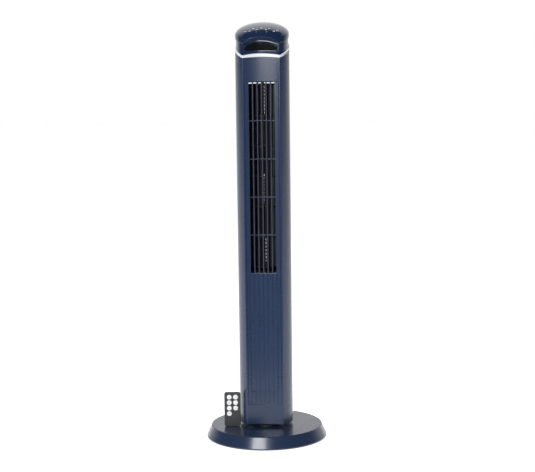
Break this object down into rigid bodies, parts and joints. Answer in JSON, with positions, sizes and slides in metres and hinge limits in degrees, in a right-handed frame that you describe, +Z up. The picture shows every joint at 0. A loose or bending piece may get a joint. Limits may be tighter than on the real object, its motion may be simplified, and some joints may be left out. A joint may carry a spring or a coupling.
{
  "type": "tower fan",
  "caption": "Slim navy tower fan: a round column with a dished slatted front swings on a round flared base, with a sloping key panel on top and a small remote beside it.",
  "frame": {"origin": "on the floor under the centre of the round base", "axes": "+Z up along the column, front panel faces -Y, +X to the right seen from the front"},
  "size_m": [0.296, 0.296, 1.0159],
  "materials": {
    "navy_plastic": "satin moulded, dark navy blue",
    "navy_gloss": "glossy moulded, dark navy blue",
    "black_plastic": "satin moulded, black",
    "smoked_plastic": "polished, smoked almost black",
    "silver_trim": "bright silver-white",
    "steel": "plain pressed steel",
    "rubber": "matt black rubber",
    "acetal": "natural white acetal",
    "circuit_board": "green solder mask",
    "charcoal_plastic": "fine-grained moulded, charcoal",
    "white_plastic": "satin white"
  },
  "bodies": {
    "base": {"base_cover": "navy_plastic", "base_plate": "black_plastic", "foot_1": "rubber", "foot_2": "rubber", "foot_3": "rubber", "foot_4": "rubber", "foot_5": "rubber", "foot_6": "rubber", "foot_7": "rubber", "foot_8": "rubber", "swivel_hub": "black_plastic", "thrust_washer": "acetal", "hub_gear": "acetal", "hub_retainer": "steel"},
    "tower": {"tower_floor": "black_plastic", "oscillation_motor": "steel", "front_shell": "navy_plastic", "rear_shell": "navy_plastic", "cord_gland": "rubber", "front_grille": "navy_plastic", "storage_tray": "black_plastic", "rear_grille": "navy_plastic", "air_guide": "black_plastic", "cutoff_wall": "black_plastic", "fan_motor": "steel", "motor_deck": "black_plastic", "rubber_mount_1": "rubber", "rubber_mount_2": "rubber", "rubber_mount_3": "rubber", "top_bearing_plate": "black_plastic", "top_bush": "rubber", "power_board": "circuit_board", "trim_ring": "silver_trim", "head_housing": "navy_gloss", "display_bezel": "navy_gloss", "display_lens": "smoked_plastic", "display_board": "circuit_board", "top_cap": "navy_gloss", "control_board": "circuit_board"},
    "impeller": {"fan_wheel": "black_plastic", "motor_shaft": "steel"},
    "pinion": {"oscillation_pinion": "acetal"},
    "cover": {"storage_cover": "navy_plastic"},
    "key_1": {"key_1": "navy_gloss"},
    "key_2": {"key_2": "navy_gloss"},
    "key_3": {"key_3": "navy_gloss"},
    "key_4": {"key_4": "navy_gloss"},
    "key_5": {"key_5": "navy_gloss"},
    "remote": {"remote_case": "charcoal_plastic", "remote_battery_tray": "charcoal_plastic", "remote_emitter": "smoked_plastic"},
    "remote_button_1": {"remote_button_1": "white_plastic"},
    "remote_button_2": {"remote_button_2": "white_plastic"},
    "remote_button_3": {"remote_button_3": "white_plastic"},
    "remote_button_4": {"remote_button_4": "white_plastic"},
    "remote_button_5": {"remote_button_5": "white_plastic"},
    "remote_button_6": {"remote_button_6": "white_plastic"},
    "remote_button_7": {"remote_button_7": "white_plastic"}
  },
  "joints": [
    {"name": "tower_swing", "type": "hinge", "parent": "base", "child": "tower", "pos_m": [0, 0, 0.045], "axis": [0, 0, 1], "range_deg": [-35, 35]},
    {"name": "pinion_spin", "type": "hinge", "parent": "tower", "child": "pinion", "pos_m": [0, 0.0403, 0.055], "axis": [0, 0, 1], "range_deg": [-106, 106]},
    {"name": "wheel_spin", "type": "hinge", "parent": "tower", "child": "impeller", "pos_m": [0, 0.00852, 0.64], "axis": [0, 0, 1], "continuous": true},
    {"name": "cover_pull", "type": "slide", "parent": "tower", "child": "cover", "axis": [0, -1, 0], "range_m": [0, 0.03]},
    {"name": "key_1_press", "type": "slide", "parent": "tower", "child": "key_1", "axis": [0, 0.2873, -0.9578], "range_m": [0, 0.001], "stiffness_N_per_m": 300},
    {"name": "key_2_press", "type": "slide", "parent": "tower", "child": "key_2", "axis": [0, 0.2873, -0.9578], "range_m": [0, 0.001], "stiffness_N_per_m": 300},
    {"name": "key_3_press", "type": "slide", "parent": "tower", "child": "key_3", "axis": [0, 0.2873, -0.9578], "range_m": [0, 0.001], "stiffness_N_per_m": 300},
    {"name": "key_4_press", "type": "slide", "parent": "tower", "child": "key_4", "axis": [0, 0.2873, -0.9578], "range_m": [0, 0.001], "stiffness_N_per_m": 300},
    {"name": "key_5_press", "type": "slide", "parent": "tower", "child": "key_5", "axis": [0, 0.2873, -0.9578], "range_m": [0, 0.001], "stiffness_N_per_m": 300},
    {"name": "remote_lift", "type": "slide", "parent": "base", "child": "remote", "axis": [0, 0, 1], "range_m": [0, 0.12]},
    {"name": "remote_button_1_press", "type": "slide", "parent": "remote", "child": "remote_button_1", "axis": [-0.0645, 0.9979, 0], "range_m": [0, 0.0008], "stiffness_N_per_m": 300},
    {"name": "remote_button_2_press", "type": "slide", "parent": "remote", "child": "remote_button_2", "axis": [-0.0645, 0.9979, 0], "range_m": [0, 0.0008], "stiffness_N_per_m": 300},
    {"name": "remote_button_3_press", "type": "slide", "parent": "remote", "child": "remote_button_3", "axis": [-0.0645, 0.9979, 0], "range_m": [0, 0.0008], "stiffness_N_per_m": 300},
    {"name": "remote_button_4_press", "type": "slide", "parent": "remote", "child": "remote_button_4", "axis": [-0.0645, 0.9979, 0], "range_m": [0, 0.0008], "stiffness_N_per_m": 300},
    {"name": "remote_button_5_press", "type": "slide", "parent": "remote", "child": "remote_button_5", "axis": [-0.0645, 0.9979, 0], "range_m": [0, 0.0008], "stiffness_N_per_m": 300},
    {"name": "remote_button_6_press", "type": "slide", "parent": "remote", "child": "remote_button_6", "axis": [-0.0645, 0.9979, 0], "range_m": [0, 0.0008], "stiffness_N_per_m": 300},
    {"name": "remote_button_7_press", "type": "slide", "parent": "remote", "child": "remote_button_7", "axis": [-0.0645, 0.9979, 0], "range_m": [0, 0.0008], "stiffness_N_per_m": 300}
  ],
  "couplings": [
    {"joint": "pinion_spin", "follows": "tower_swing", "ratio": 3}
  ]
}
